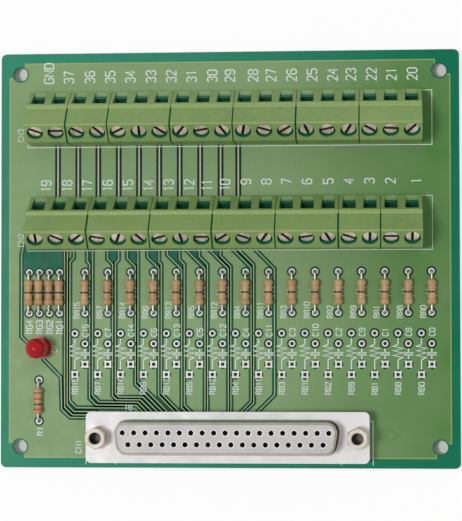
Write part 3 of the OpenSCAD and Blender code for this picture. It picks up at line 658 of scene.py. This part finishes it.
under = Flat(UNDER_RELIEF_Z)
for x, y in fitted + empty_round:
    under.ring(x, y, 0.7, 1.16)
for x in POLE_X:
    for row in (LOWER_Y, UPPER_Y):
        under.ring(x, row + 6.1, 0.7, 1.6)
under.make("pad_reliefs_under", GAP)


# Printed legend -----------------------------------------------------------------------------------

# Strokes of each letter, on a field 4 wide and 6 high
GLYPHS = {
    "0": [[(0, 1), (0, 5), (1, 6), (3, 6), (4, 5), (4, 1), (3, 0), (1, 0), (0, 1)]],
    "1": [[(1, 5), (2, 6), (2, 0)]],
    "2": [[(0, 5), (1, 6), (3, 6), (4, 5), (4, 4), (0, 0), (4, 0)]],
    "3": [[(0, 5), (1, 6), (3, 6), (4, 5), (4, 4), (3, 3.1), (1.5, 3.1)],
          [(3, 3.1), (4, 2.2), (4, 1), (3, 0), (1, 0), (0, 1)]],
    "4": [[(3, 0), (3, 6), (0, 2), (4.2, 2)]],
    "5": [[(4, 6), (0, 6), (0, 3.5), (3, 3.5), (4, 2.6), (4, 1), (3, 0), (1, 0), (0, 1)]],
    "6": [[(4, 5), (3, 6), (1, 6), (0, 5), (0, 1), (1, 0), (3, 0), (4, 1), (4, 2.5), (3, 3.4), (0, 3.4)]],
    "7": [[(0, 6), (4, 6), (1.6, 0)]],
    "8": [[(1, 3.2), (0, 4.2), (0, 5), (1, 6), (3, 6), (4, 5), (4, 4.2), (3, 3.2), (1, 3.2), (0, 2.2), (0, 1), (1, 0),
           (3, 0), (4, 1), (4, 2.2), (3, 3.2)]],
    "9": [[(0, 1), (1, 0), (3, 0), (4, 1), (4, 5), (3, 6), (1, 6), (0, 5), (0, 3.6), (1, 2.7), (4, 2.7)]],
    "A": [[(0, 0), (0, 4.4), (1.4, 6), (2.6, 6), (4, 4.4), (4, 0)], [(0, 2.4), (4, 2.4)]],
    "B": [[(0, 3.2), (0, 6), (3, 6), (4, 5.2), (4, 4), (3, 3.2), (0, 3.2), (0, 0),
           (3, 0), (4, 0.8), (4, 2.4), (3, 3.2)]],
    "C": [[(4, 5), (3, 6), (1, 6), (0, 5), (0, 1), (1, 0), (3, 0), (4, 1)]],
    "D": [[(0, 0), (0, 6), (2.6, 6), (4, 4.6), (4, 1.4), (2.6, 0), (0, 0)]],
    "G": [[(4, 5), (3, 6), (1, 6), (0, 5), (0, 1), (1, 0), (3, 0), (4, 1), (4, 3), (2.4, 3)]],
    "N": [[(0, 0), (0, 6), (4, 0), (4, 6)]],
    "R": [[(0, 0), (0, 6), (3, 6), (4, 5), (4, 4), (3, 3.1), (0, 3.1)], [(2, 3.1), (4, 0)]],
}
legend = Flat(LEGEND_Z)


def label(text, x, y, size, width, squeeze, turned=True):
    """Text that starts at y and reads upwards, centred on x; or reads to the right from x, y."""
    k = size / 6
    u = 0.0
    for ch in text:
        for stroke in GLYPHS[ch]:
            along = [((u + p) * k * squeeze, q * k) for p, q in stroke]
            legend.line([(x + size / 2 - b, y + a) if turned else (x + a, y + b) for a, b in along], width)
        u += 4.9 if ch == "1" else 5.7


def symbol(points, x, y, width):
    """A stroke of a part's symbol, its points counted from x, y."""
    legend.line([(x + a, y + b) for a, b in points], width)


# Pole numbers, as rows that share a Y
POLE_LABELS = {
    44.08: [
        ("GND", -44.91), ("37", -39.9), ("36", -34.62), ("35", -29.51), ("34", -24.47), ("33", -19.29),
        ("32", -14.22), ("31", -9.14), ("30", -4), ("29", 0.39), ("28", 6.14), ("27", 10.61), ("26", 15.69),
        ("25", 20.75), ("24", 25.82), ("23", 30.33), ("22", 35.39), ("21", 40.33), ("20", 45.39),
    ],
    17.1: [
        ("19", -45.58), ("18", -40.3), ("17", -35.24), ("16", -30.15), ("15", -25.07), ("14", -19.93),
        ("13", -14.89), ("12", -9.78), ("11", -5.32), ("10", -0.85),
    ],
    18.56: [
        ("9", 4.33), ("8", 9.39), ("7", 14.38), ("6", 19.44), ("5", 24.7), ("4", 29.76), ("3", 34.82),
        ("2", 39.96), ("1", 46.33),
    ],
}
for y, row in POLE_LABELS.items():
    for text, x in row:
        label(text, x, y, 2.35, 0.3, 0.83 if text == "GND" else 0.76)

# Part symbols and marks of the 16 channels: the fitted resistor, the empty resistor and the empty capacitor
CHANNEL_ORDER = [15, 7, 14, 6, 13, 5, 12, 4, 11, 3, 10, 2, 9, 1, 8, 0]
FITTED_ZIG = [(0, 1.5), (1.25, 1.1), (-1.25, 0.6), (1.25, 0.1), (-1.25, -0.4), (1.25, -0.9), (0, -1.3)]
EMPTY_ZIG = [(0, 2.2), (-1.2, 1.75), (1.2, 1.25), (-1.2, 0.65), (1.2, 0.1), (-1.2, -0.5), (1.2, -1.0), (0, -1.5)]
GROUND_ZIG = [(-1.2, 0.9), (1.2, 0.4), (-1.2, -0.1), (1.2, -0.6)]
for x, n in zip(CHANNEL_X, CHANNEL_ORDER):
    label(f"RA{n}", x - 2.05, -14.5, 1.35, 0.2, 0.84)
    label(f"RB{n}", x - PIN_PITCH, -33.3, 1.35, 0.2, 0.84)
    label(f"C{n}", x + 0.1, -19.0, 1.4, 0.2, 0.84)
    symbol(EMPTY_ZIG, x - PIN_PITCH, ARRAY_Y + 0.1, 0.3)
    for s, inner in ((-1, -1.4), (1, 2.3)):
        symbol([(0, s * 4.1), (0, inner)], x - PIN_PITCH, ARRAY_Y, 0.26)
        symbol([(0, s * 0.25), (0, s * 1.6)], x, ARRAY_Y, 0.3)
        symbol([(-1.2, s * 0.25), (1.2, s * 0.25)], x, ARRAY_Y, 0.24)
    symbol(FITTED_ZIG, x, RES_Y, 0.24)
for x, n in zip(GROUND_X, (4, 3, 2, 1)):
    label(f"RG{n}", x + 0.05, -18.3, 1.5, 0.24, 0.85)
    symbol(GROUND_ZIG, x, RES_Y, 0.22)
label("D1", -43.4, -22.9, 1.3, 0.22, 0.85)
label("R1", -47.0, -43.5, 1.3, 0.24, 0.95)
label("CN3", -52.0, 29.6, 1.4, 0.15, 0.85)
label("CN2", -52.0, 3.4, 1.4, 0.16, 0.85)
label("CN1", -37.4, -47.9, 1.4, 0.2, 0.9)
label("19", -25.9, -37.2, 1.1, 0.24, 1.1, turned=False)

# Outlines round the terminal rows and the socket
for row, gap, width in ((LOWER_Y, 0.12, 0.13), (UPPER_Y, 0.32, 0.18)):
    front, back = row - gap, row + STEP_TOP[0]
    legend.line([(-50.2, front + 0.8), (-50.2, front), (50.2, front), (50.2, back), (46.8, back)], width)
legend.line([(-35.5, -50.7), (-35.5, -39.9), (35.5, -39.9), (35.5, -50.7)], 0.22)
for x in (-28.1, 27.7):
    legend.line([(x, -49.5), (x, -50.7)], 0.2)
legend.make("legend", LEGEND)
tracks.make("tracks", TRACE)


# Colour bands of the resistors --------------------------------------------------------------------

def body_radius(t):
    """Radius of the resistor body at t mm from its middle."""
    t = abs(t)
    knots = [(0, 0.95), (1.65, 0.95), (2.05, 1.15), (2.45, 1.15), (2.9, 1.012), (3.15, 0.63)]
    for (a, ra), (b, rb) in zip(knots, knots[1:]):
        if t <= b:
            return ra + (rb - ra) * (t - a) / (b - a)
    return 0.6


def band(verts, faces, x, y, z, at, width, n=28, lift=0.012):
    """A band round a body that lies along Y, following its radius, with its middle at mm from the body's."""
    cuts = [at + width * k / 4 for k in (-2, -1, 0, 1, 2)]
    start = len(verts)
    for c in cuts:
        r = body_radius(c) + lift
        for k in range(n):
            a = 2 * math.pi * k / n
            verts.append(((x + r * math.cos(a)) * MM, (y + c) * MM, (z + r * math.sin(a)) * MM))
    for i in range(len(cuts) - 1):
        for k in range(n):
            a, b = start + i * n + k, start + i * n + (k + 1) % n
            faces.append([a, a + n, b + n, b])


def bands(name, places, at, width, mat):
    verts, faces = [], []
    for x, y in places:
        band(verts, faces, x, y, RES_Z, at, width)
    make_piece(name, verts, faces, mat)


lo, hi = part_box("resistor_bodies")
RES_Z = (lo.z + hi.z) / 2 / MM
bands("black_bands", [(x, RES_Y) for x in GROUND_X + CHANNEL_X], 0, 0.42, BLACK)
LAMP_BANDS = [(-2.15, 0.42, RED), (-0.85, 0.42, BLACK), (0.45, 0.42, RED), (1.95, 0.5, GOLD)]
for i, (at, width, mat) in enumerate(LAMP_BANDS):
    bands(f"lamp_band_{i + 1}", [LAMP_R], at, width, mat)


# Camera, floor and light --------------------------------------------------------------------------

def direct_rays(tree):
    """1 for rays from the camera, a glossy face or a clear one, and 0 for the rays that carry light."""
    path = tree.nodes.new("ShaderNodeLightPath")
    seen = path.outputs["Is Camera Ray"]
    for ray in ("Is Glossy Ray", "Is Transmission Ray"):
        larger = tree.nodes.new("ShaderNodeMath")
        larger.operation = "MAXIMUM"
        tree.links.new(seen, larger.inputs[0])
        tree.links.new(path.outputs[ray], larger.inputs[1])
        seen = larger.outputs[0]
    return seen


def area(name, loc, size, power):
    """A round light at loc that looks at the middle of the board."""
    data = bpy.data.lights.new(name, "AREA")
    data.shape, data.size, data.energy = "DISK", size, power
    obj = place(name, data)
    obj.location = loc
    obj.rotation_euler = (-Vector(loc)).to_track_quat("-Z", "Y").to_euler()


cam_data = bpy.data.cameras.new("camera")
cam_data.sensor_width, cam_data.lens = 36, 127.74
cam_data.shift_x, cam_data.shift_y = -0.03, 0.02
cam_data.clip_start, cam_data.clip_end = 0.01, 20
cam = place("camera", cam_data)
cam.location = (0.03678, -0.01687, 0.45697)
cam.rotation_euler = (0.030441, 0.070893, -0.001593)
scene.camera = cam

# Paper at the contact pins' lowest ends. Direct rays see it almost white, and shaded under the board.
PAPER, PAPER_SHADE, FLOOR_HALF = (0.93, 0.93, 0.93, 1), (0.915, 0.915, 0.915, 1), 3
floor_z = min(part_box(n)[0].z for n in ("upper_contact_pins", "lower_contact_pins"))
floor_mesh = bpy.data.meshes.new("floor")
floor_corners = [(sx * FLOOR_HALF, sy * FLOOR_HALF, floor_z) for sx, sy in ((-1, -1), (1, -1), (1, 1), (-1, 1))]
floor_mesh.from_pydata(floor_corners, [], [[0, 1, 2, 3]])
paper = Mat("floor_paper", PAPER, 0.9, spec=0.1)
paper.tint(paper.mix(paper.spread(paper.noise(9, 3), 0.3, 0.7), PAPER, PAPER_SHADE))
fx, fy, _ = paper.xyz()
reach = paper.math("MAXIMUM", paper.math("MULTIPLY", paper.math("ABSOLUTE", fx), 1 / (HALF_X * MM)),
                   paper.math("MULTIPLY", paper.math("ABSOLUTE", fy), 1 / (HALF_Y * MM)))
share = paper.math("MULTIPLY", direct_rays(paper.nt), paper.spread(reach, 0.955, 1.02, 0.02, 0.92))
bright = paper.node("ShaderNodeEmission")
both = paper.node("ShaderNodeMixShader")
for i, socket in enumerate((share, paper.bsdf.outputs[0], bright.outputs[0])):
    paper.link(socket, both.inputs[i])
paper.link(both.outputs[0], paper.nt.nodes["Material Output"].inputs["Surface"])
floor_mesh.materials.append(paper.mat)
floor = place("floor", floor_mesh)

area("key", (-0.27, -0.07, 0.93), 0.2, 3.8)
area("fill", (0.3, 0.5, 0.7), 0.5, 0.4)

# The world lights the part at AMBIENT, and direct rays see it white
AMBIENT = 0.42
world = bpy.data.worlds.new("studio")
world.use_nodes = True
nt = world.node_tree
backdrop = nt.nodes["Background"]
backdrop.inputs["Color"].default_value = (1, 1, 1, 1)
level = nt.nodes.new("ShaderNodeMapRange")
level.inputs["To Min"].default_value, level.inputs["To Max"].default_value = AMBIENT, 1.0
nt.links.new(direct_rays(nt), level.inputs["Value"])
nt.links.new(level.outputs["Result"], backdrop.inputs["Strength"])
scene.world = world
scene.view_settings.view_transform = "Standard"
